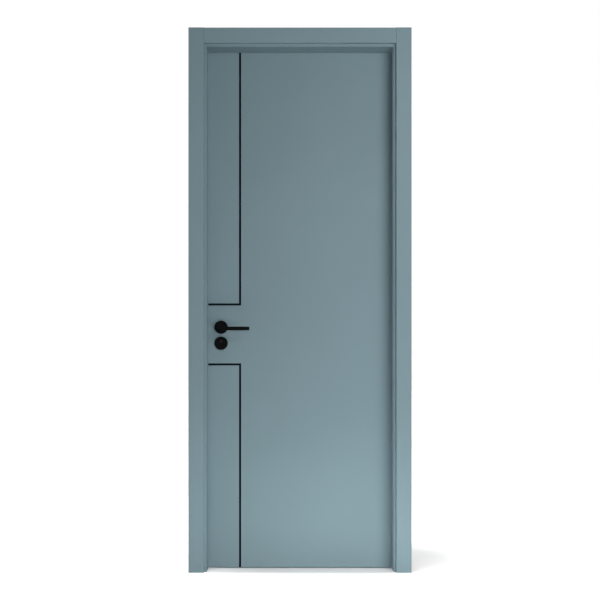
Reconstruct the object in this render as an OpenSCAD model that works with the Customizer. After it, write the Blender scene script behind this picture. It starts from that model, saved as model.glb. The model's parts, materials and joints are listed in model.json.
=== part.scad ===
// Flush single-leaf door set: rebated frame with casings, inlaid leaf, mortise lock and lever handles.
// Millimetres, +Z up, seen from -Y on the push side. The origin lies on the floor under the middle.

/* [Opening] */
// Clear width between the two jambs
clear_w = 740; // [600:5:1000]
// Clear height under the head
clear_h = 2080; // [1950:5:2400]

/* [Frame] */
// Depth of the jambs, from wall face to wall face
jamb_depth = 120; // [100:1:200]
// Timber left behind the rebate
lining_t = 23; // [22:0.5:40]
// Step of the rebate that takes the leaf
rebate = 11; // [9:0.5:14]
// Width of a casing board
casing_w = 60; // [45:1:100]
// Thickness of a casing board
casing_t = 16; // [10:0.5:18]
// Rounding of a casing's front edges
casing_r = 2; // [1:0.5:4]
// Jamb edge left bare beside the front casings
front_margin = 10; // [4:1:16]
// Jamb edge left bare beside the rear casings
rear_margin = 8; // [7:0.5:12]
// Radius of an anchor hole in the back of a jamb
anchor_r = 2.5; // [2:0.25:4]
// Depth of an anchor hole
anchor_d = 18; // [10:1:20]
// Distance of the anchor holes across the jamb
anchor_spread = 60; // [30:1:80]
// Height of the lower anchor holes
anchor_low = 300; // [150:10:600]
// Height of the upper anchor holes
anchor_high = 1800; // [1500:10:1900]

/* [Seal] */
// Room for the seal between stop and leaf
seal_gap = 3; // [2:0.25:5]
// Width of the seal's bulb
seal_w = 7; // [5:0.25:8]
// Width of the seal's stem in its groove
seal_stem_w = 2.4; // [1.5:0.1:3.5]
// Length of the seal's stem
seal_stem_d = 6; // [4:0.5:10]
// Set-back of the bulb from the clear opening
seal_inset = 0.5; // [0.2:0.1:1]

/* [Leaf] */
// Thickness of the leaf
leaf_t = 45; // [40:1:60]
// Gap beside the leaf
side_gap = 3; // [2:0.25:4]
// Gap over the leaf
head_gap = 3; // [2:0.25:5]
// Gap under the leaf
floor_gap = 3; // [2:1:15]
// Thickness of a face board
skin_t = 6; // [4:0.5:8]
// Width of the stile that holds the lock
lock_stile_w = 110; // [100:1:170]
// Width of the stile that holds the hinges
hinge_stile_w = 50; // [40:1:100]
// Height of the top and bottom rails
rail_h = 80; // [40:1:150]
// Diameter of the tubes through the core
tube_d = 25; // [18:0.5:28]
// Spacing of the tubes
tube_pitch = 30; // [29:0.5:40]

/* [Inlaid lines] */
// Width of an inlaid strip
inlay_w = 8.5; // [5:0.5:15]
// Depth of the strip's groove
inlay_d = 3; // [2:0.25:3.5]
// Set-back of the strip under the leaf's face
inlay_sink = 0.5; // [0:0.1:1]
// Upright strip's middle, from the lock edge of the leaf
inlay_inset = 136; // [100:1:250]
// Upper cross strip's middle over the spindle
upper_rise = 92; // [60:1:200]
// Lower cross strip's middle under the spindle
lower_drop = 150; // [110:1:300]

/* [Hinges] */
// Height of a hinge
hinge_h = 102; // [80:1:130]
// Thickness of a hinge flap
flap_t = 2.5; // [2:0.25:3]
// Width of a hinge flap on the timber
flap_w = 30; // [26:1:34]
// Rounding of a flap's outer corners
flap_r = 7; // [2:0.5:8]
// Radius of the barrel
barrel_r = 6.5; // [5.5:0.25:7]
// Radius of the hinge pin
pin_r = 3; // [2:0.25:3.5]
// Middle of the top hinge under the leaf's top
hinge_top = 200; // [150:5:300]
// Middle of the bottom hinge over the leaf's foot
hinge_bottom = 250; // [150:5:350]

/* [Lever handles] */
// Height of the spindle over the floor
spindle_z = 973; // [900:1:1100]
// Spindle from the lock edge of the leaf
backset = 60; // [55:0.5:70]
// Diameter of a rose
rose_d = 53; // [50:0.5:58]
// Height of a rose on the leaf
rose_t = 8; // [6:0.5:12]
// Rounding of a rose's edge
rose_r = 2; // [0.5:0.25:3]
// Lever's end from the spindle
lever_l = 116; // [90:1:140]
// Height of the lever's bar
lever_h = 14.5; // [12:0.5:18]
// Thickness of the lever's bar
lever_t = 9; // [7:0.5:12]
// Lever's outer face from the leaf
lever_reach = 58; // [45:1:70]
// Radius of the lever's head over the neck
lever_head_r = 15; // [13:0.5:16]
// Rounding between the lever's head and its bar
lever_fillet = 12; // [4:0.5:20]
// Radius of the lever's neck
neck_r = 9; // [8:0.25:10]
// Rounding of the lever's end
lever_tip_r = 3; // [1:0.5:5]
// Side of the square spindle
spindle_w = 8; // [7:0.5:9]
// Length of the spindle inside a lever
spindle_grip = 38; // [25:1:40]
// Radius of a through bolt of the roses
rose_bolt_r = 2; // [1.5:0.25:2.5]
// Through bolts from the middle of a rose
rose_bolt_x = 19; // [17:0.5:20]

/* [Lock] */
// Cylinder's middle under the spindle
cylinder_drop = 57; // [56:0.5:75]
// Height of the lock's forend plate
forend_h = 220; // [205:1:260]
// Width of the forend plate
forend_w = 22; // [18:0.5:26]
// Rounding of the forend plate's corners
forend_r = 8; // [2:0.5:8.5]
// Thickness of the forend plate
forend_t = 3; // [2:0.25:4]
// Thickness of the lock case
case_t = 15; // [14:0.5:18]
// Sheet of the lock case
case_wall = 1.5; // [1:0.1:1.6]
// Case behind the spindle
case_back = 28; // [26:0.5:34]
// Case over the spindle
case_over = 40; // [32:1:50]
// Case under the cylinder's middle
case_under = 45; // [32:1:60]
// Radius of the follower's hub
follower_r = 10; // [8:0.25:10.5]
// Radius of the follower's bearings in the case
follower_boss_r = 7; // [6:0.25:7.5]
// Reach of the follower's arm
follower_reach = 16; // [14.5:0.25:18]
// Radius of the arm's tip
follower_tip_r = 3; // [2.5:0.25:3.5]
// Projection of the latch
latch_throw = 11; // [9:0.5:12]
// Height of the latch
latch_h = 16; // [12:0.5:20]
// Width of the latch
latch_w = 11.4; // [8:0.1:11.5]
// Height of the dead bolt
bolt_h = 21; // [20:0.5:24]
// Width of the dead bolt
bolt_w = 11; // [8:0.1:11.5]
// Reach of the arm that throws the dead bolt
turn_reach = 14; // [12.5:0.25:14]
// Radius of that arm's tip
turn_tip_r = 2.5; // [2:0.25:2.5]
// Radius of the key plug
plug_r = 6; // [5:0.25:6.5]
// Width of the thumb turn's grip
turn_h = 26; // [20:1:34]
// Reach of the thumb turn's grip
turn_grip = 15; // [10:1:20]

/* [Strike] */
// Thickness of the strike plate
strike_t = 2; // [1.5:0.25:2.5]
// Width of the strike plate
strike_w = 24; // [20:0.5:28]
// Plate over and under the two holes
strike_end = 26; // [20:1:40]
// Rounding of the strike plate's corners
strike_r = 7; // [2:0.5:8]
// Lip over and under the latch's hole
lip_edge = 5; // [2:0.5:8]

/* [Hidden] */
$fn = 64;

// Colours
paint = "#7b9097";
black = "#1b1e20";
rubber = "#4a565b";
steel = "#b9bab8";
brass = "#b59a5c";
board = "#c8ab7d";

// Clearances
snug = 0.05;        // piece pushed into its seat
bore_fit = 0.05;    // shaft turning in a bore
screw_fit = 0.1;    // screw or bolt through a hole
slide_fit = 0.3;    // bolt sliding through a plate
strike_fit = 1;     // bolt entering the strike plate
pocket_fit = 0.2;   // case or box in its pocket
over = 1;           // cutters reach past the faces that they cut

// Depths, from the front casings to the rear lever
overall_d = casing_t + jamb_depth + lever_reach;
front_y = -overall_d / 2;
jamb_y0 = front_y + casing_t;
jamb_y1 = jamb_y0 + jamb_depth;
leaf_y1 = jamb_y1;
leaf_y0 = leaf_y1 - leaf_t;
leaf_my = (leaf_y0 + leaf_y1) / 2;
stop_y = leaf_y0 - seal_gap;

// Widths and heights of the frame
half_w = clear_w / 2;
jamb_t = rebate + lining_t;
rebate_x = half_w + rebate;
jamb_x = half_w + jamb_t;
head_rebate_z = clear_h + rebate;
head_top = clear_h + jamb_t;
front_inner_x = half_w + front_margin;
front_inner_z = clear_h + front_margin;
rear_inner_x = rebate_x + rear_margin;
rear_inner_z = head_rebate_z + rear_margin;
anchor_y = (jamb_y0 + jamb_y1) / 2;

// Seal and its groove
seal_clear = 0.3;
seal_foot = 2;
bulb_t = seal_gap - seal_clear;
bulb_share = 0.6;       // rounding of the bulb as a share of its height
bulb_r = bulb_t * bulb_share;
kerf_w = seal_stem_w + 2 * snug;
kerf_d = seal_stem_d + snug;
kerf_u = seal_inset + (seal_w - kerf_w) / 2;

// Leaf
leaf_x = rebate_x - side_gap;
edge_x = -leaf_x;
leaf_z0 = floor_gap;
leaf_z1 = head_rebate_z - head_gap;
inner_y0 = leaf_y0 + skin_t;
inner_y1 = leaf_y1 - skin_t;
core_x0 = edge_x + lock_stile_w;
core_x1 = leaf_x - hinge_stile_w;
core_z0 = leaf_z0 + rail_h;
core_z1 = leaf_z1 - rail_h;
tube_count = floor((core_x1 - core_x0 - tube_pitch + tube_d) / tube_pitch);
upright_x = edge_x + inlay_inset;
upper_line_z = spindle_z + upper_rise;
lower_line_z = spindle_z - lower_drop;

// Hinges
pin_x = (leaf_x + rebate_x) / 2;
barrel_gap = 0.5;       // barrel off the wall face
pin_y = jamb_y1 + barrel_r + barrel_gap;
knuckle_count = 5;
knuckle_gap = 0.4;
knuckle_h = (hinge_h - (knuckle_count - 1) * knuckle_gap) / knuckle_count;
pin_head_step = 0.5;    // pin's head inside the barrel's outline
pin_head_r = barrel_r - pin_head_step;
pin_head_h = 4;
hinge_z_top = leaf_z1 - hinge_top;
hinge_z_bottom = leaf_z0 + hinge_bottom;
hinge_zs = [hinge_z_top, (hinge_z_top + hinge_z_bottom) / 2, hinge_z_bottom];

// Countersunk screws
screw_r = 2;
screw_csk = 2;
screw_l = 20;
screw_point = 3;
flap_screw_count = 4;
flap_screw_ends = 13;   // outer screws from the ends of a flap
flap_screw_in = 9;      // screw rows from the long edges of a flap

// Lever handles and their roses
spindle_x = edge_x + backset;
lever_lift = 0.5;       // neck over the leaf's face
neck_fit = 0.08;        // neck turning in its rose
rose_bolt_grip = 5;     // bolt inside a rose
neck_room = 1;          // leaf round the neck
spindle_hole_r = neck_r + neck_room;

// Lock case
cyl_z = spindle_z - cylinder_drop;
case_x0 = edge_x + forend_t;
case_x1 = spindle_x + case_back;
case_y0 = leaf_my - case_t / 2;
case_y1 = leaf_my + case_t / 2;
case_z0 = cyl_z - case_under;
case_z1 = spindle_z + case_over;
forend_z = (case_z0 + case_z1) / 2;
forend_screw_end = 13;
inner_t = case_t - 2 * case_wall;
works_t = inner_t - 2 * slide_fit;

// Latch, pulled back by the follower's arm
handle_angle = 45;      // turn of a lever
arm_t = 6;
arm_share = 0.8;        // arm's width as a share of its tip
arm_w = 2 * follower_tip_r * arm_share;
hook_w = 5.4;
hook_gap = 0.6;
tail_gap = 1.5;
tail_h = 4.5;
latch_body = 16;
latch_z1 = spindle_z + follower_reach + follower_tip_r + tail_gap + tail_h;
latch_z0 = latch_z1 - latch_h;
latch_tip = 3;          // flat left on the latch's nose
hook_x = spindle_x + follower_tip_r + hook_gap;
hook_drop = 2;          // hook under the tip's middle when the arm is turned down
hook_z0 = spindle_z + follower_reach * cos(handle_angle) - hook_drop + follower_tip_r / 2;

// Dead bolt, thrown by a quarter turn of the cylinder
turn_angle = 45;        // arm's lean at each end of its turn
bolt_throw = 2 * turn_reach * sin(turn_angle);
turn_hub_r = 8;
turn_hub_t = 9.4;
turn_arm_w = 3;
bolt_tail_gap = 1.4;    // dead bolt's tail over the hub
tail_t = 5;
bolt_body = 33;
bolt_lift = 3;
bolt_z0 = cyl_z + bolt_lift;
bolt_z1 = bolt_z0 + bolt_h;
notch_play = 0.7;       // play beside the arm's tip
notch_w = 2 * (turn_tip_r + notch_play);
notch_x = spindle_x + turn_reach * sin(turn_angle);
notch_top = cyl_z + turn_reach + turn_tip_r + hook_gap;
bolt_tail_end = 4.9;

// Profile cylinder
profile_r = 8.5;
profile_w = 10;
profile_h = 33;
cyl_proud = 1;
cyl_y0 = leaf_y0 - rose_t - cyl_proud;
cyl_y1 = leaf_y1 + rose_t + cyl_proud;
escutcheon_z = cyl_z + profile_r - profile_h / 2;
cam_slot = turn_hub_t + 2 * slide_fit;
cam_room = 1;           // cylinder's slot round the hub
cam_floor = turn_hub_r + cam_room;
cyl_screw_drop = 16.5;
cyl_screw_r = 2.5;
plug_square = 5;
key_w = 2.2;
key_low = 4.8;          // keyway under and over the plug's middle
key_high = 3.2;
key_d = 22;
collar_r = 13.5;
collar_t = 3;
turn_w = 7;
turn_round = 6;
turn_gap = 0.5;         // thumb turn over the cylinder's face
cyl_screw_short = 1;    // screw's end inside the cylinder's far side
cyl_screw_l = backset + profile_w / 2 - cyl_screw_short;

// Strike plate and dust box
box_wall = 1.2;
box_clear = 1.5;
box_x = leaf_x + bolt_throw + box_clear + box_wall;
box_half_y = max(latch_w, bolt_w) / 2 + strike_fit;
box_z0 = bolt_z0 - strike_fit;
box_z1 = latch_z1 + strike_fit;
strike_z0 = box_z0 - strike_end;
strike_z1 = box_z1 + strike_end;
strike_screw_end = strike_end / 3;

// Shared shapes

function arc(cx, cy, r, a0, a1, n = 8) =
    [for (i = [0:n]) let (a = a0 + (a1 - a0) * i / n) [cx + r * cos(a), cy + r * sin(a)]];

// Block between two opposite corners
module block(low, high) {
    translate(low)
        cube(high - low);
}

// Corner of an outline round a centre, a single point where it isn't rounded
function corner(y, z, r, a) = r == 0 ? [[y, z]] : arc(y, z, r, a, a + 90);

// Plate in a timber edge between two opposite corners, rounded at its near and its far long edge
module edge_plate(low, high, near_r, far_r) {
    translate([low.x, 0, 0])
        rotate([90, 0, 90])
            linear_extrude(height = high.x - low.x)
                polygon(concat(corner(high.y - far_r, high.z - far_r, far_r, 0),
                               corner(low.y + near_r, high.z - near_r, near_r, 90),
                               corner(low.y + near_r, low.z + near_r, near_r, 180),
                               corner(high.y - far_r, low.z + far_r, far_r, 270)));
}

// What is drawn on the hinge side, on the lock side instead
module on_lock_side() {
    mirror([1, 0, 0])
        children();
}

// What is drawn on the leaf's front face, on its rear face instead
module on_rear_face() {
    translate([0, 2 * leaf_my, 0])
        mirror([0, 1, 0])
            children();
}

// What stands on z = 0, on the front face of the leaf with its foot towards the leaf
module on_front_face(x, z) {
    translate([x, leaf_y0, z])
        rotate([90, 0, 0])
            children();
}

// Screw along +Z with its flat head at z = 0
module screw(r = screw_r, l = screw_l) {
    rotate_extrude()
        polygon([[0, 0], [r + screw_csk, 0], [r, screw_csk], [r, l - screw_point], [0, l]]);
}

// Hole for that screw, open above its head
module screw_hole(r = screw_r, l = screw_l) {
    hole_r = r + screw_fit;
    rotate_extrude()
        polygon([[0, -over], [hole_r + screw_csk, -over], [hole_r + screw_csk, 0],
                 [hole_r, screw_csk], [hole_r, l + screw_fit], [0, l + screw_fit]]);
}

// Straight hole through the leaf's whole thickness
module through_hole(x, z, r) {
    translate([x, leaf_y0 - rose_t, z])
        rotate([-90, 0, 0])
            cylinder(r = r, h = leaf_t + 2 * rose_t);
}

// Outline of the profile cylinder round its own middle, grown by a clearance
module cylinder_outline(grow) {
    side = profile_w / 2 + grow;
    top = profile_r + grow;
    meet = acos(side / top);
    foot = profile_r - profile_h + profile_w / 2;
    polygon(concat(arc(0, 0, top, -meet, 180 + meet, 24), arc(0, foot, side, 180, 360, 12)));
}

module cylinder_hole(grow) {
    translate([spindle_x, cyl_y1 + over, cyl_z])
        rotate([90, 0, 0])
            linear_extrude(height = cyl_y1 - cyl_y0 + 2 * over)
                cylinder_outline(grow);
}

// Four bolts that tie the front roses to the rear ones
module bolt_rows(r) {
    for (z = [spindle_z, escutcheon_z])
        for (side = [-1, 1])
            translate([spindle_x + side * rose_bolt_x, leaf_y0 - rose_bolt_grip, z])
                rotate([-90, 0, 0])
                    cylinder(r = r, h = leaf_t + 2 * rose_bolt_grip);
}

// Frame

module jamb_section() {
    difference() {
        polygon([[0, jamb_y0], [jamb_t, jamb_y0], [jamb_t, jamb_y1],
                 [rebate, jamb_y1], [rebate, stop_y], [0, stop_y]]);
        translate([kerf_u, stop_y - kerf_d])
            square([kerf_w, kerf_d + over]);
    }
}

module side_jamb() {
    difference() {
        translate([half_w, 0, 0])
            linear_extrude(height = head_top)
                jamb_section();
        for (side = [-1, 1])
            for (z = [anchor_low, anchor_high])
                translate([jamb_x - anchor_d, anchor_y + side * anchor_spread / 2, z])
                    rotate([0, 90, 0])
                        cylinder(r = anchor_r, h = anchor_d + over);
    }
}

module lock_jamb() {
    color(paint)
        on_lock_side()
            difference() {
                side_jamb();
                strike_blank(snug);
                strike_box_blank(pocket_fit);
                strike_screw_row()
                    screw_hole();
            }
}

module hinge_jamb() {
    color(paint)
        difference() {
            side_jamb();
            for (z = hinge_zs)
                flap_blank(z, snug);
            flap_screw_rows()
                screw_hole();
        }
}

module head_jamb() {
    color(paint)
        difference() {
            union() {
                block([-half_w, jamb_y0, clear_h], [half_w, stop_y, head_top]);
                block([-rebate_x, stop_y, head_rebate_z], [rebate_x, jamb_y1, head_top]);
            }
            block([-half_w - over, stop_y - kerf_d, clear_h + kerf_u],
                  [half_w + over, stop_y + over, clear_h + kerf_u + kerf_w]);
        }
}

// Casing board with its face at y = 0, its back at y = casing_t and its inner edge at x = 0
module casing_section() {
    translate([0, casing_r])
        square([casing_w, casing_t - casing_r]);
    translate([casing_r, 0])
        square([casing_w - 2 * casing_r, casing_t]);
    for (x = [casing_r, casing_w - casing_r])
        translate([x, casing_r])
            circle(r = casing_r);
}

module casing_leg(inner_x, inner_z) {
    color(paint)
        translate([inner_x, front_y, 0])
            linear_extrude(height = inner_z + casing_w)
                casing_section();
}

module casing_head(inner_x, inner_z) {
    color(paint)
        translate([-inner_x, front_y, inner_z])
            rotate([90, 0, 90])
                linear_extrude(height = 2 * inner_x)
                    mirror([1, -1])
                        casing_section();
}

// What is drawn as a front casing, on the rear of the frame instead
module on_wall_rear() {
    translate([0, jamb_y0 + jamb_y1, 0])
        mirror([0, 1, 0])
            children();
}

module lock_casing_front() {
    on_lock_side()
        casing_leg(front_inner_x, front_inner_z);
}

module hinge_casing_front() {
    casing_leg(front_inner_x, front_inner_z);
}

module head_casing_front() {
    casing_head(front_inner_x, front_inner_z);
}

module lock_casing_rear() {
    on_wall_rear()
        on_lock_side()
            casing_leg(rear_inner_x, rear_inner_z);
}

module hinge_casing_rear() {
    on_wall_rear()
        casing_leg(rear_inner_x, rear_inner_z);
}

module head_casing_rear() {
    on_wall_rear()
        casing_head(rear_inner_x, rear_inner_z);
}

// Bulb seal with its stem, from the clear opening outwards
module seal_section() {
    low = seal_inset;
    high = seal_inset + seal_w;
    crown = stop_y + bulb_t - bulb_r;
    polygon(concat([[low, stop_y], [high, stop_y]],
                   arc(high - bulb_r, crown, bulb_r, 0, 90), arc(low + bulb_r, crown, bulb_r, 90, 180)));
    translate([kerf_u + snug, stop_y - seal_stem_d])
        square([seal_stem_w, seal_stem_d + bulb_t / 2]);
}

module side_seal() {
    color(rubber)
        translate([half_w, 0, seal_foot])
            linear_extrude(height = clear_h + seal_inset + seal_w - seal_foot)
                seal_section();
}

module lock_seal() {
    on_lock_side()
        side_seal();
}

module hinge_seal() {
    side_seal();
}

module head_seal() {
    color(rubber)
        translate([-half_w, 0, clear_h])
            rotate([90, 0, 90])
                linear_extrude(height = clear_w)
                    mirror([1, -1])
                        seal_section();
}

// Strike, drawn on the hinge side and turned over to the lock side

// Plate with a lip that runs out to the edge of the jamb beside the latch
module strike_blank(grow) {
    face_x = rebate_x - (grow > 0 ? over : 0);
    back_x = rebate_x + strike_t;
    lip_reach = lip_edge + strike_fit + grow;
    edge_plate([face_x, leaf_my - strike_w / 2 - grow, strike_z0 - grow],
               [back_x, leaf_my + strike_w / 2 + grow, strike_z1 + grow], strike_r + grow, strike_r + grow);
    block([face_x, leaf_my, latch_z0 - lip_reach],
          [back_x, jamb_y1 + (grow > 0 ? over : 0), latch_z1 + lip_reach]);
}

module strike_box_blank(grow) {
    wall = box_wall + grow;
    block([rebate_x + strike_t - (grow > 0 ? over : 0), leaf_my - box_half_y - wall, box_z0 - wall],
          [box_x + grow, leaf_my + box_half_y + wall, box_z1 + wall]);
}

module strike_screw_row() {
    for (z = [strike_z0 + strike_screw_end, strike_z1 - strike_screw_end])
        translate([rebate_x, leaf_my, z])
            rotate([0, 90, 0])
                children();
}

// Opening for the latch or the dead bolt through a plate between two depths
module bolt_opening(x0, x1, width, z0, z1, fit) {
    block([x0, leaf_my - width / 2 - fit, z0 - fit], [x1, leaf_my + width / 2 + fit, z1 + fit]);
}

module strike_plate() {
    face_x = rebate_x - over;
    back_x = rebate_x + strike_t + over;
    color(black)
        on_lock_side()
            difference() {
                strike_blank(0);
                bolt_opening(face_x, back_x, latch_w, latch_z0, latch_z1, strike_fit);
                bolt_opening(face_x, back_x, bolt_w, bolt_z0, bolt_z1, strike_fit);
                strike_screw_row()
                    screw_hole();
            }
}

module strike_box() {
    color(black)
        on_lock_side()
            difference() {
                strike_box_blank(0);
                block([rebate_x, leaf_my - box_half_y, box_z0],
                      [box_x - box_wall, leaf_my + box_half_y, box_z1]);
            }
}

module strike_screws() {
    color(steel)
        on_lock_side()
            strike_screw_row()
                screw();
}

// Hinges

module flap_blank(z, grow) {
    edge_plate([rebate_x - (grow > 0 ? over : 0), jamb_y1 - flap_w - grow, z - hinge_h / 2 - grow],
               [rebate_x + flap_t, jamb_y1 + (grow > 0 ? over : 0), z + hinge_h / 2 + grow],
               flap_r + grow, 0);
}

// Screws in each flap, staggered over its width
module flap_screw_rows(zs = hinge_zs) {
    for (z = zs)
        for (i = [0:flap_screw_count - 1]) {
            row = i % 2 == 0 ? flap_screw_in : flap_w - flap_screw_in;
            step = (hinge_h - 2 * flap_screw_ends) / (flap_screw_count - 1);
            translate([rebate_x, jamb_y1 - row, z - hinge_h / 2 + flap_screw_ends + i * step])
                rotate([0, 90, 0])
                    children();
        }
}

// Flap with every second knuckle of the barrel
module hinge_flap(z, first) {
    color(black)
        difference() {
            union() {
                flap_blank(z, 0);
                for (i = [first:2:knuckle_count - 1]) {
                    low = z - hinge_h / 2 + i * (knuckle_h + knuckle_gap);
                    translate([pin_x, pin_y, low])
                        cylinder(r = barrel_r, h = knuckle_h);
                    block([rebate_x, jamb_y1 - over, low], [rebate_x + flap_t, pin_y, low + knuckle_h]);
                }
            }
            translate([pin_x, pin_y, z - hinge_h / 2 - over])
                cylinder(r = pin_r + bore_fit, h = hinge_h + 2 * over);
            flap_screw_rows([z])
                screw_hole();
        }
}

// What is drawn on the jamb, on the leaf's edge across the pin instead
module across_pin() {
    translate([2 * pin_x, 0, 0])
        mirror([1, 0, 0])
            children();
}

module top_hinge_frame_flap() {
    hinge_flap(hinge_zs[0], 0);
}

module middle_hinge_frame_flap() {
    hinge_flap(hinge_zs[1], 0);
}

module bottom_hinge_frame_flap() {
    hinge_flap(hinge_zs[2], 0);
}

module top_hinge_leaf_flap() {
    across_pin()
        hinge_flap(hinge_zs[0], 1);
}

module middle_hinge_leaf_flap() {
    across_pin()
        hinge_flap(hinge_zs[1], 1);
}

module bottom_hinge_leaf_flap() {
    across_pin()
        hinge_flap(hinge_zs[2], 1);
}

// Pin with a domed head at each end
module hinge_pins() {
    half_h = hinge_h / 2;
    head = concat([[pin_r, half_h], [pin_head_r, half_h]],
                  arc(pin_head_r - pin_head_h / 2, half_h + pin_head_h / 2, pin_head_h / 2, 0, 90),
                  [[0, half_h + pin_head_h]]);
    foot = [for (i = [len(head) - 1:-1:0]) [head[i][0], -head[i][1]]];
    color(black)
        for (z = hinge_zs)
            translate([pin_x, pin_y, z])
                rotate_extrude()
                    polygon(concat(foot, head));
}

module frame_flap_screws() {
    color(steel)
        flap_screw_rows()
            screw();
}

module leaf_flap_screws() {
    color(steel)
        across_pin()
            flap_screw_rows()
                screw();
}

// Leaf

// Upright strip's place on the front face
module upright_line(z0, z1, fit, y0) {
    half = inlay_w / 2 - fit;
    block([upright_x - half, y0, z0], [upright_x + half, leaf_y0 + inlay_d, z1]);
}

// Cross strip's place on the front face, from the lock edge to the upright
module cross_line(z, fit, y0, x0) {
    half = inlay_w / 2 - fit;
    block([x0, y0, z - half], [upright_x - inlay_w / 2, leaf_y0 + inlay_d, z + half]);
}

module line_grooves() {
    cut_y = leaf_y0 - over;
    upright_line(upper_line_z - inlay_w / 2, leaf_z1 + over, 0, cut_y);
    upright_line(leaf_z0 - over, lower_line_z + inlay_w / 2, 0, cut_y);
    cross_line(upper_line_z, 0, cut_y, edge_x - over);
    cross_line(lower_line_z, 0, cut_y, edge_x - over);
}

// Holes through both face boards and the lock stile
module lock_holes() {
    through_hole(spindle_x, spindle_z, spindle_hole_r);
    cylinder_hole(pocket_fit);
    bolt_rows(rose_bolt_r + screw_fit);
}

module face_board() {
    difference() {
        block([edge_x, leaf_y0, leaf_z0], [leaf_x, inner_y0, leaf_z1]);
        line_grooves();
        lock_holes();
    }
}

module front_skin() {
    color(paint)
        face_board();
}

module rear_skin() {
    color(paint)
        difference() {
            on_rear_face()
                face_board();
            across_pin()
                for (z = hinge_zs)
                    flap_blank(z, snug);
        }
}

module lock_stile() {
    color(board)
        difference() {
            block([edge_x, inner_y0, leaf_z0], [core_x0, inner_y1, leaf_z1]);
            forend_blank(snug);
            block([case_x0 - over, case_y0 - pocket_fit, case_z0 - pocket_fit],
                  [case_x1 + pocket_fit, case_y1 + pocket_fit, case_z1 + pocket_fit]);
            lock_holes();
            forend_screw_row()
                screw_hole();
        }
}

module hinge_stile() {
    color(board)
        difference() {
            block([core_x1, inner_y0, leaf_z0], [leaf_x, inner_y1, leaf_z1]);
            across_pin() {
                for (z = hinge_zs)
                    flap_blank(z, snug);
                flap_screw_rows()
                    screw_hole();
            }
        }
}

module top_rail() {
    color(board)
        block([core_x0, inner_y0, core_z1], [core_x1, inner_y1, leaf_z1]);
}

module bottom_rail() {
    color(board)
        block([core_x0, inner_y0, leaf_z0], [core_x1, inner_y1, core_z0]);
}

// Board with a row of upright tubes
module core() {
    middle_x = (core_x0 + core_x1) / 2;
    color(board)
        difference() {
            block([core_x0, inner_y0, core_z0], [core_x1, inner_y1, core_z1]);
            for (i = [0:tube_count - 1])
                translate([middle_x + (i - (tube_count - 1) / 2) * tube_pitch, leaf_my, core_z0 - over])
                    cylinder(d = tube_d, h = core_z1 - core_z0 + 2 * over);
        }
}

// Inlaid strips, each sunk a little under the face

module upper_upright_inlay_front() {
    color(black)
        upright_line(upper_line_z - inlay_w / 2, leaf_z1, snug, leaf_y0 + inlay_sink);
}

module upper_cross_inlay_front() {
    color(black)
        cross_line(upper_line_z, snug, leaf_y0 + inlay_sink, edge_x);
}

module lower_upright_inlay_front() {
    color(black)
        upright_line(leaf_z0, lower_line_z + inlay_w / 2, snug, leaf_y0 + inlay_sink);
}

module lower_cross_inlay_front() {
    color(black)
        cross_line(lower_line_z, snug, leaf_y0 + inlay_sink, edge_x);
}

module upper_upright_inlay_rear() {
    on_rear_face()
        upper_upright_inlay_front();
}

module upper_cross_inlay_rear() {
    on_rear_face()
        upper_cross_inlay_front();
}

module lower_upright_inlay_rear() {
    on_rear_face()
        lower_upright_inlay_front();
}

module lower_cross_inlay_rear() {
    on_rear_face()
        lower_cross_inlay_front();
}

// Lock case and forend

// Openings that the bolts and the shafts need in the case
module case_openings() {
    bolt_opening(case_x0 - over, case_x0 + case_wall + over, latch_w, latch_z0, latch_z1, slide_fit);
    bolt_opening(case_x0 - over, case_x0 + case_wall + over, bolt_w, bolt_z0, bolt_z1, slide_fit);
    through_hole(spindle_x, spindle_z, follower_boss_r + bore_fit);
    cylinder_hole(pocket_fit);
    bolt_rows(rose_bolt_r + screw_fit);
    cylinder_screw_place()
        cylinder(r = cyl_screw_r + screw_fit, h = backset);
}

module lock_case() {
    color(steel)
        difference() {
            block([case_x0, case_y0, case_z0], [case_x1, case_y1 - case_wall, case_z1]);
            block([case_x0 + case_wall, case_y0 + case_wall, case_z0 + case_wall],
                  [case_x1 - case_wall, case_y1, case_z1 - case_wall]);
            case_openings();
        }
}

module lock_case_cover() {
    color(steel)
        difference() {
            block([case_x0, case_y1 - case_wall, case_z0], [case_x1, case_y1, case_z1]);
            through_hole(spindle_x, spindle_z, follower_boss_r + bore_fit);
            cylinder_hole(pocket_fit);
            bolt_rows(rose_bolt_r + screw_fit);
        }
}

module forend_blank(grow) {
    edge_plate([edge_x - (grow > 0 ? over : 0), leaf_my - forend_w / 2 - grow,
                forend_z - forend_h / 2 - grow],
               [edge_x + forend_t, leaf_my + forend_w / 2 + grow, forend_z + forend_h / 2 + grow],
               forend_r + grow, forend_r + grow);
}

module forend_screw_row() {
    for (side = [-1, 1])
        translate([edge_x, leaf_my, forend_z + side * (forend_h / 2 - forend_screw_end)])
            rotate([0, 90, 0])
                children();
}

module cylinder_screw_place() {
    translate([edge_x, leaf_my, cyl_z - cyl_screw_drop])
        rotate([0, 90, 0])
            children();
}

module forend() {
    color(black)
        difference() {
            forend_blank(0);
            bolt_opening(edge_x - over, case_x0 + over, latch_w, latch_z0, latch_z1, slide_fit);
            bolt_opening(edge_x - over, case_x0 + over, bolt_w, bolt_z0, bolt_z1, slide_fit);
            forend_screw_row()
                screw_hole();
            cylinder_screw_place()
                screw_hole(cyl_screw_r, backset);
        }
}

module forend_screws() {
    color(steel)
        forend_screw_row()
            screw();
}

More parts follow.
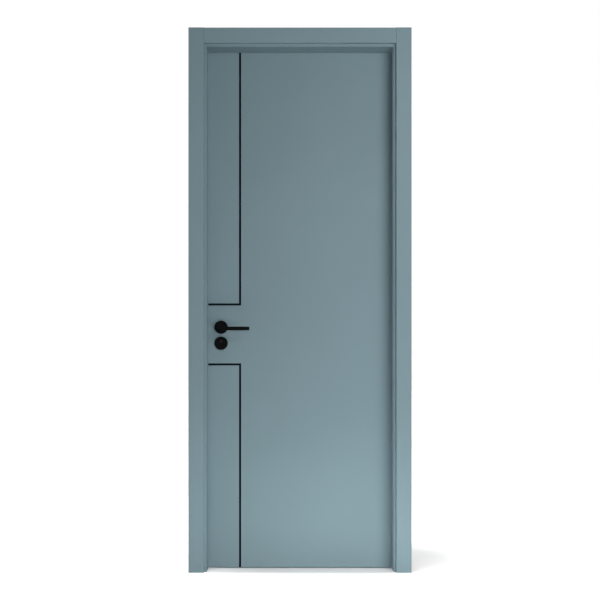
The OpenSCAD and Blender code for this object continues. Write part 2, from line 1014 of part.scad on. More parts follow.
// Follower on the spindle, with the arm that pulls the latch
module follower() {
    color(steel)
        translate([spindle_x, leaf_my, spindle_z])
            rotate([90, 0, 0])
                difference() {
                    union() {
                        cylinder(r = follower_r, h = works_t, center = true);
                        cylinder(r = follower_boss_r, h = case_t, center = true);
                        translate([0, follower_reach / 2, 0])
                            cube([arm_w, follower_reach, arm_t], center = true);
                        translate([0, follower_reach, 0])
                            cylinder(r = follower_tip_r, h = arm_t, center = true);
                    }
                    cube([spindle_w + 2 * snug, spindle_w + 2 * snug, case_t + 2 * over], center = true);
                }
}

// Latch with a bevelled nose, a tail over the follower and a hook behind the arm's tip
module latch_bolt() {
    nose_x = edge_x - latch_throw;
    body_x = edge_x + latch_body;
    half = latch_w / 2;
    color(steel) {
        translate([0, leaf_my, latch_z0])
            linear_extrude(height = latch_h)
                polygon([[body_x, -half], [edge_x, -half], [nose_x, half - latch_tip], [nose_x, half],
                         [body_x, half]]);
        block([body_x - over, leaf_my - arm_t / 2, latch_z1 - tail_h],
              [hook_x + hook_w, leaf_my + arm_t / 2, latch_z1]);
        block([hook_x, leaf_my - arm_t / 2, hook_z0], [hook_x + hook_w, leaf_my + arm_t / 2, latch_z1]);
    }
}

// Dead bolt with the notched tail that the cylinder's arm drives
module dead_bolt() {
    body_x = edge_x + bolt_body;
    half = bolt_w / 2;
    color(steel)
        difference() {
            union() {
                block([edge_x, leaf_my - half, bolt_z0], [body_x, leaf_my + half, bolt_z1]);
                block([body_x - over, leaf_my - tail_t / 2, cyl_z + turn_hub_r + bolt_tail_gap],
                      [notch_x + notch_w / 2 + bolt_tail_end, leaf_my + tail_t / 2, bolt_z1]);
            }
            block([notch_x - notch_w / 2, leaf_my - tail_t, cyl_z],
                  [notch_x + notch_w / 2, leaf_my + tail_t, notch_top]);
        }
}

// Profile cylinder

module lock_cylinder() {
    color(steel)
        difference() {
            translate([spindle_x, cyl_y1, cyl_z])
                rotate([90, 0, 0])
                    linear_extrude(height = cyl_y1 - cyl_y0)
                        cylinder_outline(0);
            translate([spindle_x, cyl_y0 - over, cyl_z])
                rotate([-90, 0, 0])
                    cylinder(r = plug_r + bore_fit, h = cyl_y1 - cyl_y0 + 2 * over);
            block([spindle_x - profile_r - over, leaf_my - cam_slot / 2, cyl_z - cam_floor],
                  [spindle_x + profile_r + over, leaf_my + cam_slot / 2, cyl_z + profile_r + over]);
            cylinder_screw_place()
                cylinder(r = cyl_screw_r + screw_fit, h = backset + profile_w);
        }
}

module cylinder_screw() {
    color(steel)
        cylinder_screw_place()
            screw(cyl_screw_r, cyl_screw_l);
}

// Square end of a plug inside the hub
module plug_tail(y0, y1) {
    half = plug_square / 2;
    block([spindle_x - half, y0, cyl_z - half], [spindle_x + half, y1, cyl_z + half]);
}

// Plug with its keyway, from the front face to the hub
module key_plug() {
    hub_y = leaf_my - turn_hub_t / 2;
    color(brass)
        difference() {
            union() {
                translate([spindle_x, cyl_y0, cyl_z])
                    rotate([-90, 0, 0])
                        cylinder(r = plug_r, h = hub_y - cyl_y0);
                plug_tail(hub_y - over, leaf_my - snug);
            }
            block([spindle_x - key_w / 2, cyl_y0 - over, cyl_z - key_low],
                  [spindle_x + key_w / 2, cyl_y0 + key_d, cyl_z + key_high]);
        }
}

// Hub between the plugs, with the arm that throws the dead bolt
module turn_hub() {
    hole = plug_square + 2 * snug;
    color(steel)
        translate([spindle_x, leaf_my, cyl_z])
            rotate([90, 0, 0])
                difference() {
                    union() {
                        cylinder(r = turn_hub_r, h = turn_hub_t, center = true);
                        rotate([0, 0, -turn_angle]) {
                            translate([0, turn_reach / 2, 0])
                                cube([turn_arm_w, turn_reach, tail_t], center = true);
                            translate([0, turn_reach, 0])
                                cylinder(r = turn_tip_r, h = tail_t, center = true);
                        }
                    }
                    cube([hole, hole, turn_hub_t + 2 * over], center = true);
                }
}

// Thumb turn with its own plug, on the rear face
module thumbturn() {
    hub_y = leaf_my + turn_hub_t / 2;
    collar_y = cyl_y1 + turn_gap;
    grip_y = turn_grip - turn_round;
    grip_z = turn_h / 2 - turn_round;
    color(black) {
        plug_tail(leaf_my + snug, hub_y + over);
        translate([spindle_x, hub_y, cyl_z])
            rotate([-90, 0, 0])
                cylinder(r = plug_r, h = collar_y - hub_y + over);
        translate([spindle_x, collar_y, cyl_z])
            rotate([-90, 0, 0])
                cylinder(r = collar_r, h = collar_t);
        translate([spindle_x - turn_w / 2, collar_y + collar_t, cyl_z])
            rotate([90, 0, 90])
                linear_extrude(height = turn_w)
                    polygon(concat([[-over, turn_h / 2 - over], [-over, over - turn_h / 2]],
                                   [[0, -turn_h / 2]], arc(grip_y, -grip_z, turn_round, 270, 360),
                                   arc(grip_y, grip_z, turn_round, 0, 90), [[0, turn_h / 2]]));
    }
}

// Roses, escutcheons and the bolts through the leaf

// Round cover with a bore, standing on z = 0
module rose_disc(bore_r) {
    crown = rose_t - rose_r;
    rotate_extrude()
        polygon(concat([[bore_r, 0], [rose_d / 2, 0]], arc(rose_d / 2 - rose_r, crown, rose_r, 0, 90),
                       [[bore_r, rose_t]]));
}

module front_rose() {
    color(black)
        difference() {
            on_front_face(spindle_x, spindle_z)
                rose_disc(neck_r + neck_fit);
            bolt_rows(rose_bolt_r + screw_fit);
        }
}

module rear_rose() {
    on_rear_face()
        front_rose();
}

module front_escutcheon() {
    color(black)
        difference() {
            on_front_face(spindle_x, escutcheon_z)
                rose_disc(0);
            cylinder_hole(pocket_fit);
            bolt_rows(rose_bolt_r + screw_fit);
        }
}

module rear_escutcheon() {
    on_rear_face()
        front_escutcheon();
}

module rose_bolts() {
    color(steel)
        bolt_rows(rose_bolt_r);
}

// Levers and their spindle

// Head over the neck, with the bar level with the head's foot and a hollow curve between them
module lever_outline() {
    bar_top = lever_h - lever_head_r;
    curve_z = bar_top + lever_fillet;
    curve_x = sqrt(pow(lever_head_r + lever_fillet, 2) - pow(curve_z, 2));
    meet = atan2(curve_z, curve_x);
    curve = arc(curve_x, curve_z, lever_fillet, 270, 180 + meet);
    end_x = lever_l - lever_tip_r;
    polygon(concat(arc(0, 0, lever_head_r, meet, 270, 24),
                   arc(end_x, lever_tip_r - lever_head_r, lever_tip_r, 270, 360),
                   arc(end_x, bar_top - lever_tip_r, lever_tip_r, 0, 90),
                   [for (i = [0:len(curve) - 2]) curve[i]]));
}

module front_lever() {
    socket = spindle_w + 2 * snug;
    color(black)
        on_front_face(spindle_x, spindle_z)
            difference() {
                union() {
                    translate([0, 0, lever_reach - lever_t])
                        linear_extrude(height = lever_t)
                            lever_outline();
                    translate([0, 0, lever_lift])
                        cylinder(r = neck_r, h = lever_reach - lever_t - lever_lift + over);
                }
                translate([-socket / 2, -socket / 2, -over])
                    cube([socket, socket, spindle_grip + snug + over]);
            }
}

module rear_lever() {
    on_rear_face()
        front_lever();
}

module spindle() {
    half = spindle_w / 2;
    color(steel)
        block([spindle_x - half, leaf_y0 - spindle_grip, spindle_z - half],
              [spindle_x + half, leaf_y1 + spindle_grip, spindle_z + half]);
}

lock_jamb();
hinge_jamb();
head_jamb();
lock_casing_front();
hinge_casing_front();
head_casing_front();
lock_casing_rear();
hinge_casing_rear();
head_casing_rear();
lock_seal();
hinge_seal();
head_seal();
strike_plate();
strike_box();
strike_screws();
top_hinge_frame_flap();
middle_hinge_frame_flap();
bottom_hinge_frame_flap();
hinge_pins();
frame_flap_screws();
front_skin();
rear_skin();
lock_stile();
hinge_stile();
top_rail();
bottom_rail();
core();
upper_upright_inlay_front();
upper_cross_inlay_front();
lower_upright_inlay_front();
lower_cross_inlay_front();
upper_upright_inlay_rear();
upper_cross_inlay_rear();
lower_upright_inlay_rear();
lower_cross_inlay_rear();
top_hinge_leaf_flap();
middle_hinge_leaf_flap();
bottom_hinge_leaf_flap();
leaf_flap_screws();
lock_case();
lock_case_cover();
forend();
forend_screws();
lock_cylinder();
cylinder_screw();
front_rose();
rear_rose();
front_escutcheon();
rear_escutcheon();
rose_bolts();
front_lever();
rear_lever();
spindle();
follower();
latch_bolt();
dead_bolt();
key_plug();
turn_hub();
thumbturn();
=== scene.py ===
"""Dresses a flush door set with inlaid lines: lacquer, black fittings, screws and a plain stage."""

import json
import math

import bmesh
import bpy
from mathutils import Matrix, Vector

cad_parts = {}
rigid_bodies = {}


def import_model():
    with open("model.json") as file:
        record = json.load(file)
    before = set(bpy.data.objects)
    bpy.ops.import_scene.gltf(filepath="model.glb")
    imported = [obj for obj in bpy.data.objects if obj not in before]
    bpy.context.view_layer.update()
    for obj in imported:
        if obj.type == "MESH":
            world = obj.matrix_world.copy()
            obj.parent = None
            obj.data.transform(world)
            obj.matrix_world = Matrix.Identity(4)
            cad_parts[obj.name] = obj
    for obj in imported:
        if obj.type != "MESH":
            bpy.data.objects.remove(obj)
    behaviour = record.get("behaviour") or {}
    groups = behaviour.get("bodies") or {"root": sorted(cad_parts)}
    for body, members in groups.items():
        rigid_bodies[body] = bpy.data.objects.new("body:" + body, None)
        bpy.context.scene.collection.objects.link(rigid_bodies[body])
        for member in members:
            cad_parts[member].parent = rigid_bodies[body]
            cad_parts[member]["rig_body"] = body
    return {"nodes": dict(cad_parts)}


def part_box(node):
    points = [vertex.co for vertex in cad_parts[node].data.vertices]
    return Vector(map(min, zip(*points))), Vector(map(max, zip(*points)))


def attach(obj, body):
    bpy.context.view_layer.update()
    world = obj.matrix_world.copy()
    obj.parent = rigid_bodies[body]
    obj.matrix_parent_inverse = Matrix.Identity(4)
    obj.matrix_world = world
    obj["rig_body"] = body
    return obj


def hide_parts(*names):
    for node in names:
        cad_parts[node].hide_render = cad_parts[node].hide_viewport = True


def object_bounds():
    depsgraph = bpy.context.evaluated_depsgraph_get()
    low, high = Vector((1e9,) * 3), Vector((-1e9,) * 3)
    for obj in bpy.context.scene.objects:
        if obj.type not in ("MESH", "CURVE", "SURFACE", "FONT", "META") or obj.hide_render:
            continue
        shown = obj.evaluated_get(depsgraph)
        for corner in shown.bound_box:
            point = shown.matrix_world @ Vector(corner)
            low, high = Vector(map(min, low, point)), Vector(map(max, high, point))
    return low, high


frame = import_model()
cad_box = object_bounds()

bl_info = {
    "name": "Inlaid Door Set",
    "version": (1, 0, 0),
    "blender": (4, 5, 0),
    "location": "View3D > Sidebar > Door Set",
    "description": "Finishes, screws and stage for a flush door set with inlaid lines",
    "category": "Object",
}

IMAGE_SIDE = 600
MERGE_DISTANCE = 1e-6
FLAT_ANGLE = math.radians(0.5)
SHARP_ANGLE = math.radians(35)
ON_PLANE = 1e-4
ALONG = 0.99
FACING = 0.9
# Digits of a metre by which like solids are put in order
SORT_DIGITS = 4
# Middle part of a noise, which the finishes spread over their range
NOISE_LOW = 0.3
NOISE_HIGH = 0.7
FLOOR_HALF = 60.0
# Oval round the door's foot in which the floor has no glow, so the real soft shadows show there; outside
# it a painted glow lifts the floor to white and covers the shadows
POOL = {"Location": (-0.09, -0.16, 0.0), "Scale": (0.6, 0.8, 1.0)}
POOL_NEAR = 0.24
POOL_FAR = 0.46
# Ways that the daylight travels, and the angles under which its sources appear
STRAIGHT_DOWN = (0, 0, -1)
STRAIGHT_ANGLE = math.radians(0.5)
SLANTING = (0.0806, 0.1729, -0.9816)
SLANTING_ANGLE = math.radians(9)

JAMBS = ("lock_jamb", "hinge_jamb", "head_jamb")
FRONT_CASINGS = ("lock_casing_front", "hinge_casing_front", "head_casing_front")
REAR_CASINGS = ("lock_casing_rear", "hinge_casing_rear", "head_casing_rear")
SEALS = ("lock_seal", "hinge_seal", "head_seal")
UPRIGHT_INLAYS = (
    "upper_upright_inlay_front", "lower_upright_inlay_front",
    "upper_upright_inlay_rear", "lower_upright_inlay_rear",
)
CROSS_INLAYS = (
    "upper_cross_inlay_front", "lower_cross_inlay_front",
    "upper_cross_inlay_rear", "lower_cross_inlay_rear",
)
HINGE_PIECES = (
    "top_hinge_frame_flap", "middle_hinge_frame_flap", "bottom_hinge_frame_flap",
    "top_hinge_leaf_flap", "middle_hinge_leaf_flap", "bottom_hinge_leaf_flap", "hinge_pins",
)
LEVERS = ("front_lever", "rear_lever")
ROSES = ("front_rose", "rear_rose", "front_escutcheon", "rear_escutcheon")
PLATES = ("forend", "strike_plate")
BOLTS = ("latch_bolt", "dead_bolt")
HIDDEN_STEEL = ("lock_case", "lock_case_cover", "spindle", "follower", "turn_hub", "rose_bolts")

# Screw nodes and the way that their heads face
SCREWS = {
    "strike_screws": (1, 0, 0),
    "frame_flap_screws": (-1, 0, 0),
    "leaf_flap_screws": (1, 0, 0),
    "forend_screws": (-1, 0, 0),
    "cylinder_screw": (-1, 0, 0),
}
SCREW_LENGTHS = (
    "Head Radius", "Head Depth", "Length", "Point", "Recess Reach", "Recess Width", "Recess Depth",
)
SCREW_SIDES = 24
# Places of the highest value and of the result on a random value node that gives one number
RANDOM_HIGHEST = 3
RANDOM_RESULT = 1

# Place, aim as a share of the height, size, and spread in degrees of each lamp.
# Its power is the stage setting of the same name
LAMPS = {
    "key": ((1.30, -1.70, 0.28), 0.50, (0.90, 0.50), 180),
    "front": ((0.90, -3.20, 1.10), 0.50, (1.20, 1.20), 180),
    "low": ((0.08, -0.55, 0.05), 0.30, (1.30, 0.08), 180),
    "upper": ((0.90, -1.50, 2.05), 0.50, (0.80, 0.50), 180),
    "back": ((-0.60, 3.20, 0.80), 0.50, (1.20, 1.00), 80),
    "side": ((-5.00, -0.66, 0.60), 0.50, (1.60, 1.20), 180),
}


# Settings

def colour_setting(name, description, default):
    return bpy.props.FloatVectorProperty(
        name=name, description=description, default=default, subtype="COLOR", size=3, min=0, max=1)


def length_setting(name, description, default):
    return bpy.props.FloatProperty(
        name=name, description=description, default=default, min=0, unit="LENGTH", precision=5)


def power_setting(name, description, default):
    return bpy.props.FloatProperty(
        name=name, description=description, default=default, min=0, unit="POWER")


class DoorFinishSettings(bpy.types.PropertyGroup):
    """Colours of the door set in linear light, and the fine waves of its lacquer."""

    lacquer: colour_setting("Lacquer", "Satin lacquer of leaf, jambs and casings", (0.155, 0.222, 0.248))
    fittings: colour_setting(
        "Fittings", "Black coat of handles, roses, hinges and plates", (0.0020, 0.0023, 0.0025))
    inlay: colour_setting("Inlay", "Anodised coat of the inlaid strips", (0.0010, 0.0026, 0.0040))
    seal: colour_setting("Seal", "Rubber of the bulb seal", (0.100, 0.145, 0.160))
    steel: colour_setting("Steel", "Zinc-plated steel of the lock and the screws", (0.52, 0.52, 0.50))
    plug: colour_setting("Key plug", "Blackened brass of the key plug", (0.012, 0.010, 0.008))
    board: colour_setting("Board", "Bare fibreboard on the wall side", (0.42, 0.29, 0.17))
    core: colour_setting("Core", "Chipboard of the leaf's core", (0.50, 0.37, 0.21))
    plastic: colour_setting("Plastic", "Dust box behind the strike", (0.010, 0.010, 0.011))
    peel: length_setting("Orange peel", "Size of the lacquer's fine waves", 0.0022)
    peel_depth: length_setting("Peel depth", "Height of the lacquer's fine waves", 0.00002)


class DoorEdgeSettings(bpy.types.PropertyGroup):
    """How far edges are eased."""

    timber: length_setting("Timber edges", "Easing of the jambs' long edges", 0.0010)
    face: length_setting("Face edges", "Easing of the face boards round edges, grooves and holes", 0.0002)
    strip: length_setting("Strip edges", "Easing of the inlaid strips", 0.00015)
    lever: length_setting("Lever edges", "Rounding of the levers", 0.0016)
    metal: length_setting("Metal edges", "Easing of plates, hinges and bolts", 0.0004)
    steps: bpy.props.IntProperty(
        name="Steps", description="Faces across an eased edge", default=3, min=1, max=6)


class DoorScrewSettings(bpy.types.PropertyGroup):
    """Countersunk screws with a cross recess."""

    head_depth: length_setting("Head depth", "Height of the countersunk head", 0.002)
    point: length_setting("Point", "Length of the point", 0.003)
    recess_reach: length_setting("Recess reach", "Length of each wing of the recess", 0.0024)
    recess_width: length_setting("Recess width", "Width of each wing of the recess", 0.0009)
    recess_depth: length_setting("Recess depth", "Depth of the recess", 0.0013)
    seed: bpy.props.IntProperty(name="Seed", description="How far each screw was turned home", default=7)


class DoorStageSettings(bpy.types.PropertyGroup):
    """Camera, lamps and floor."""

    distance: length_setting("Distance", "Camera from the foremost point of the front lever", 3.753)
    height: length_setting("Height", "Camera over the floor", 0.765)
    lens: bpy.props.FloatProperty(
        name="Lens", description="Focal length on a 36 mm sensor", default=57.13, unit="CAMERA")
    horizon: bpy.props.FloatProperty(
        name="Horizon", description="Height of the horizon in the square picture, in pixels from its top",
        default=378.74, subtype="PIXEL")
    ambient: bpy.props.FloatProperty(
        name="Ambient", description="Strength of the soft room light", default=0.10)
    daylight: bpy.props.FloatProperty(
        name="Daylight", description="Strength of the light from straight above", default=1.6)
    slanting: bpy.props.FloatProperty(
        name="Slanting light", description="Strength of the light from high in front, on the lock side",
        default=1.0)
    key: power_setting("Key", "Broad soft lamp on the hinge side", 12.2)
    front: power_setting("Front", "Broad soft lamp in front", 35.2)
    low: power_setting("Low", "Long soft lamp near the floor", 3.6)
    upper: power_setting("Upper", "Soft lamp at the height of the head, on the hinge side", 11.8)
    back: power_setting("Back", "Broad soft lamp behind", 22.0)
    side: power_setting("Side", "Soft lamp far out on the lock side", 95.0)
    floor: colour_setting("Floor", "Pale floor", (0.76, 0.76, 0.76))
    floor_bounce: colour_setting(
        "Floor bounce", "Share of light that the floor returns to the door", (0.28, 0.28, 0.28))
    floor_glow: bpy.props.FloatProperty(
        name="Floor glow", description="Light that lifts the floor to white away from the door",
        default=0.40)


# Finishes

def add_node(tree, kind, settings=None, values=None):
    """A new node with its settings and the values of its inputs."""
    made = tree.nodes.new(kind)
    for key, value in (settings or {}).items():
        setattr(made, key, value)
    for key, value in (values or {}).items():
        made.inputs[key].default_value = value
    return made


def new_finish(name):
    """An empty material with its shader, Object coordinates and node tree."""
    made = bpy.data.materials.new(name)
    made.use_nodes = True
    tree = made.node_tree
    shader = tree.nodes["Principled BSDF"]
    place = add_node(tree, "ShaderNodeTexCoord").outputs["Object"]
    return made, tree, shader, place


def noise(tree, place, scale, stretch=(1, 1, 1), detail=3.0):
    """Noise on the piece's own coordinates, drawn out along an axis by a small stretch value."""
    mapping = add_node(tree, "ShaderNodeMapping", values={"Scale": stretch})
    texture = add_node(tree, "ShaderNodeTexNoise", values={"Scale": scale, "Detail": detail})
    tree.links.new(place, mapping.inputs["Vector"])
    tree.links.new(mapping.outputs["Vector"], texture.inputs["Vector"])
    return texture.outputs["Fac"]


def in_range(tree, value, low, high):
    """The middle part of a noise, spread from a low to a high value."""
    spread = add_node(tree, "ShaderNodeMapRange", values={
        "From Min": NOISE_LOW, "From Max": NOISE_HIGH, "To Min": low, "To Max": high})
    tree.links.new(value, spread.inputs["Value"])
    return spread.outputs["Result"]


def tint(tree, shader, colour, value, spread):
    """Base colour that varies by a share to both sides along a noise."""
    mix = add_node(tree, "ShaderNodeMix", {"data_type": "RGBA"})
    mix.inputs["A"].default_value = (*[c * (1 - spread) for c in colour], 1)
    mix.inputs["B"].default_value = (*[min(1, c * (1 + spread)) for c in colour], 1)
    tree.links.new(in_range(tree, value, 0, 1), mix.inputs["Factor"])
    tree.links.new(mix.outputs["Result"], shader.inputs["Base Color"])


def roughen(tree, shader, value, low, high):
    tree.links.new(in_range(tree, value, low, high), shader.inputs["Roughness"])


def emboss(tree, shader, value, depth):
    bump = add_node(tree, "ShaderNodeBump", values={"Distance": depth, "Strength": 1.0})
    tree.links.new(value, bump.inputs["Height"])
    tree.links.new(bump.outputs["Normal"], shader.inputs["Normal"])


def lacquer(finish):
    """Satin lacquer: faint clouds in the colour, fine waves from the spray gun."""
    made, tree, shader, place = new_finish("satin_lacquer")
    tint(tree, shader, finish.lacquer, noise(tree, place, scale=2.6, detail=2.0), spread=0.022)
    roughen(tree, shader, noise(tree, place, scale=9.0), low=0.54, high=0.62)
    emboss(tree, shader, noise(tree, place, scale=1 / finish.peel, detail=1.0), depth=finish.peel_depth)
    shader.inputs["Specular IOR Level"].default_value = 0.12
    return made


def black_coat(finish):
    """Fine powder coat on metal."""
    made, tree, shader, place = new_finish("black_coat")
    tint(tree, shader, finish.fittings, noise(tree, place, scale=120.0), spread=0.25)
    roughen(tree, shader, noise(tree, place, scale=260.0), low=0.46, high=0.60)
    emboss(tree, shader, noise(tree, place, scale=2600.0, detail=1.0), depth=0.00002)
    shader.inputs["Specular IOR Level"].default_value = 0.025
    return made


def inlay_coat(finish, name, stretch):
    """Black anodised strip, brushed along its length."""
    made, tree, shader, place = new_finish(name)
    brushed = noise(tree, place, scale=900.0, stretch=stretch, detail=2.0)
    tint(tree, shader, finish.inlay, brushed, spread=0.30)
    roughen(tree, shader, brushed, low=0.36, high=0.52)
    emboss(tree, shader, brushed, depth=0.00001)
    shader.inputs["Specular IOR Level"].default_value = 0.03
    return made


def seal_rubber(finish):
    made, tree, shader, place = new_finish("seal_rubber")
    tint(tree, shader, finish.seal, noise(tree, place, scale=40.0), spread=0.10)
    roughen(tree, shader, noise(tree, place, scale=300.0), low=0.66, high=0.82)
    emboss(tree, shader, noise(tree, place, scale=1800.0, detail=1.0), depth=0.00002)
    return made


def plated_steel(finish):
    """Zinc plating with a drawn grain."""
    made, tree, shader, place = new_finish("plated_steel")
    grain = noise(tree, place, scale=700.0, stretch=(0.06, 1, 1), detail=2.0)
    tint(tree, shader, finish.steel, noise(tree, place, scale=60.0), spread=0.08)
    roughen(tree, shader, grain, low=0.26, high=0.44)
    emboss(tree, shader, grain, depth=0.000008)
    shader.inputs["Metallic"].default_value = 1.0
    return made


def plug_brass(finish):
    made, tree, shader, place = new_finish("blackened_brass")
    tint(tree, shader, finish.plug, noise(tree, place, scale=400.0), spread=0.20)
    roughen(tree, shader, noise(tree, place, scale=900.0), low=0.30, high=0.48)
    shader.inputs["Metallic"].default_value = 1.0
    return made


def bare_board(finish):
    """Fibreboard: short fibres over a soft mottle."""
    made, tree, shader, place = new_finish("bare_fibreboard")
    fibres = noise(tree, place, scale=520.0, stretch=(1, 1, 0.35), detail=4.0)
    tint(tree, shader, finish.board, fibres, spread=0.14)
    roughen(tree, shader, fibres, low=0.74, high=0.90)
    emboss(tree, shader, fibres, depth=0.00006)
    return made


def core_board(finish):
    """Chipboard: flakes of many sizes."""
    made, tree, shader, place = new_finish("chipboard")
    flakes = add_node(tree, "ShaderNodeTexVoronoi", values={"Scale": 190.0})
    tree.links.new(place, flakes.inputs["Vector"])
    shade = add_node(tree, "ShaderNodeRGBToBW")
    tree.links.new(flakes.outputs["Color"], shade.inputs["Color"])
    tint(tree, shader, finish.core, shade.outputs["Val"], spread=0.28)
    roughen(tree, shader, noise(tree, place, scale=240.0), low=0.72, high=0.92)
    emboss(tree, shader, shade.outputs["Val"], depth=0.0002)
    return made


def dust_plastic(finish):
    made, tree, shader, place = new_finish("dust_box_plastic")
    tint(tree, shader, finish.plastic, noise(tree, place, scale=80.0), spread=0.15)
    roughen(tree, shader, noise(tree, place, scale=420.0), low=0.50, high=0.66)
    emboss(tree, shader, noise(tree, place, scale=1500.0), depth=0.00003)
    return made


def finish_named(name, make):
    """The material of that name, made the first time that it is asked for."""
    return bpy.data.materials.get(name) or make()


# Pieces

def solid_copy(node):
    """A node's triangles as one merged mesh with flat faces joined."""
    source = frame["nodes"][node].data
    plain = bpy.data.meshes.new(node + "_plain")
    plain.from_pydata([v.co for v in source.vertices], [], [p.vertices for p in source.polygons])
    shape = bmesh.new()
    shape.from_mesh(plain)
    bpy.data.meshes.remove(plain)
    bmesh.ops.remove_doubles(shape, verts=shape.verts, dist=MERGE_DISTANCE)
    bmesh.ops.dissolve_limit(
        shape, angle_limit=FLAT_ANGLE, verts=shape.verts, edges=shape.edges, use_dissolve_boundaries=False)
    return shape


def ease_edges(shape, width, steps, chosen):
    """Rounds the outer edges that chosen() picks by their two ends."""
    edges = [
        e for e in shape.edges
        if len(e.link_faces) == 2 and e.is_convex and e.calc_face_angle(0) > SHARP_ANGLE
        and chosen(e.verts[0].co, e.verts[1].co)
    ]
    if edges and width > 0:
        bmesh.ops.bevel(
            shape, geom=edges, offset=width, offset_type="OFFSET", segments=steps, profile=0.5,
            affect="EDGES", clamp_overlap=True, loop_slide=True)


def any_edge(a, b):
    return True


def dress(node, finishes, width=0.0, steps=2, chosen=any_edge, bare=None):
    """A merged copy with eased edges, which stands for the node.

    bare() picks the faces that get the second finish.
    """
    shape = solid_copy(node)
    ease_edges(shape, width, steps, chosen)
    if bare:
        for face in shape.faces:
            face.material_index = 1 if bare(face.calc_center_median(), face.normal) else 0
    mesh = bpy.data.meshes.new(node + "_shape")
    shape.to_mesh(mesh)
    shape.free()
    mesh.shade_smooth()
    mesh.set_sharp_from_angle(angle=SHARP_ANGLE)
    for finish in finishes:
        mesh.materials.append(finish)
    carrier = bpy.data.objects.new(node + "_carrier", mesh)
    bpy.context.scene.collection.objects.link(carrier)
    even = carrier.modifiers.new("flat_faces_stay_flat", "WEIGHTED_NORMAL")
    even.keep_sharp = True
    stand_for(plain_piece(carrier, node + "_dressed"), node)


def plain_piece(carrier, name):
    """A plain mesh object of what a carrier's modifier makes; the carrier is removed."""
    graph = bpy.context.evaluated_depsgraph_get()
    mesh = bpy.data.meshes.new_from_object(carrier.evaluated_get(graph), depsgraph=graph)
    mesh.name = name
    source = carrier.data
    carrier.modifiers.clear()
    bpy.data.objects.remove(carrier)
    bpy.data.meshes.remove(source)
    piece = bpy.data.objects.new(name, mesh)
    bpy.context.scene.collection.objects.link(piece)
    return piece


def stand_for(piece, node):
    """Puts a piece in its node's place on the same body, and hides the node."""
    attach(piece, frame["nodes"][node]["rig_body"])
    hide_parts(node)


def paint(node, finish):
    """Gives a node that keeps its own shape its finish."""
    mesh = frame["nodes"][node].data
    mesh.materials.clear()
    mesh.materials.append(finish)


def loose_solids(node):
    """Lowest and highest corner of each separate solid in a node, in a fixed order."""
    shape = solid_copy(node)
    waiting = set(shape.verts)
    boxes = []
    while waiting:
        found = []
        stack = [waiting.pop()]
        while stack:
            vert = stack.pop()
            found.append(vert.co.copy())
            for edge in vert.link_edges:
                other = edge.other_vert(vert)
                if other in waiting:
                    waiting.remove(other)
                    stack.append(other)
        low = Vector(min(p[i] for p in found) for i in range(3))
        high = Vector(max(p[i] for p in found) for i in range(3))
        boxes.append((low, high))
    shape.free()
    return sorted(boxes, key=lambda box: [round(c, SORT_DIGITS) for c in box[0]])


class DOORSET_OT_frame(bpy.types.Operator):
    """Lacquered jambs and casings with bare backs, and the rubber seal"""

    bl_idname = "doorset.frame"
    bl_label = "Frame"

    def execute(self, context):
        finish = context.scene.door_finish
        edges = context.scene.door_edges
        coats = [
            finish_named("satin_lacquer", lambda: lacquer(finish)),
            finish_named("bare_fibreboard", lambda: bare_board(finish)),
        ]
        low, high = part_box("hinge_jamb")
        stop_y = max(
            v.co.y for v in frame["nodes"]["hinge_jamb"].data.vertices if abs(v.co.x - low.x) < ON_PLANE)
        planes = (low.y, stop_y, high.y)
        head_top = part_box("head_jamb")[1].z
        for node in JAMBS:
            axis = 0 if node == "head_jamb" else 2

            def nosing(a, b, axis=axis):
                along = abs((b - a).normalized()[axis]) > ALONG
                return along and any(abs(a.y - y) < ON_PLANE for y in planes)

            def wall_side(centre, normal, axis=axis):
                if axis == 0:
                    return normal.z > FACING and centre.z > head_top - ON_PLANE
                outer = abs(centre.x) > high.x - ON_PLANE and abs(normal.x) > FACING
                return outer or abs(normal.z) > FACING

            dress(node, coats, edges.timber, edges.steps, nosing, wall_side)
        for node in FRONT_CASINGS:
            dress(node, coats, bare=lambda centre, normal: normal.y > FACING)
        for node in REAR_CASINGS:
            dress(node, coats, bare=lambda centre, normal: normal.y < -FACING)
        rubber = finish_named("seal_rubber", lambda: seal_rubber(finish))
        for node in SEALS:
            dress(node, [rubber])
        return {"FINISHED"}


class DOORSET_OT_leaf(bpy.types.Operator):
    """Face boards with eased edges, lacquered stiles, rails and the tubular core"""

    bl_idname = "doorset.leaf"
    bl_label = "Leaf"

    def execute(self, context):
        finish = context.scene.door_finish
        edges = context.scene.door_edges
        coat = finish_named("satin_lacquer", lambda: lacquer(finish))
        bare = finish_named("bare_fibreboard", lambda: bare_board(finish))
        faces = {"front_skin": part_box("front_skin")[0].y, "rear_skin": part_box("rear_skin")[1].y}
        for node, y in faces.items():

            def on_face(a, b, y=y):
                return abs(a.y - y) < ON_PLANE and abs(b.y - y) < ON_PLANE

            dress(node, [coat], edges.face, edges.steps, on_face)
        for node in ("lock_stile", "hinge_stile"):
            dress(node, [coat, bare], bare=lambda centre, normal: abs(normal.z) > FACING)
        for node in ("top_rail", "bottom_rail"):
            dress(node, [bare])
        paint("core", finish_named("chipboard", lambda: core_board(finish)))
        return {"FINISHED"}


class DOORSET_OT_inlays(bpy.types.Operator):
    """Black anodised strips in the grooves of both faces"""

    bl_idname = "doorset.inlays"
    bl_label = "Inlays"

    def execute(self, context):
        finish = context.scene.door_finish
        edges = context.scene.door_edges
        upright = inlay_coat(finish, "inlay_upright", stretch=(1, 1, 0.02))
        cross = inlay_coat(finish, "inlay_cross", stretch=(0.02, 1, 1))
        for node in UPRIGHT_INLAYS:
            dress(node, [upright], edges.strip, edges.steps)
        for node in CROSS_INLAYS:
            dress(node, [cross], edges.strip, edges.steps)
        return {"FINISHED"}


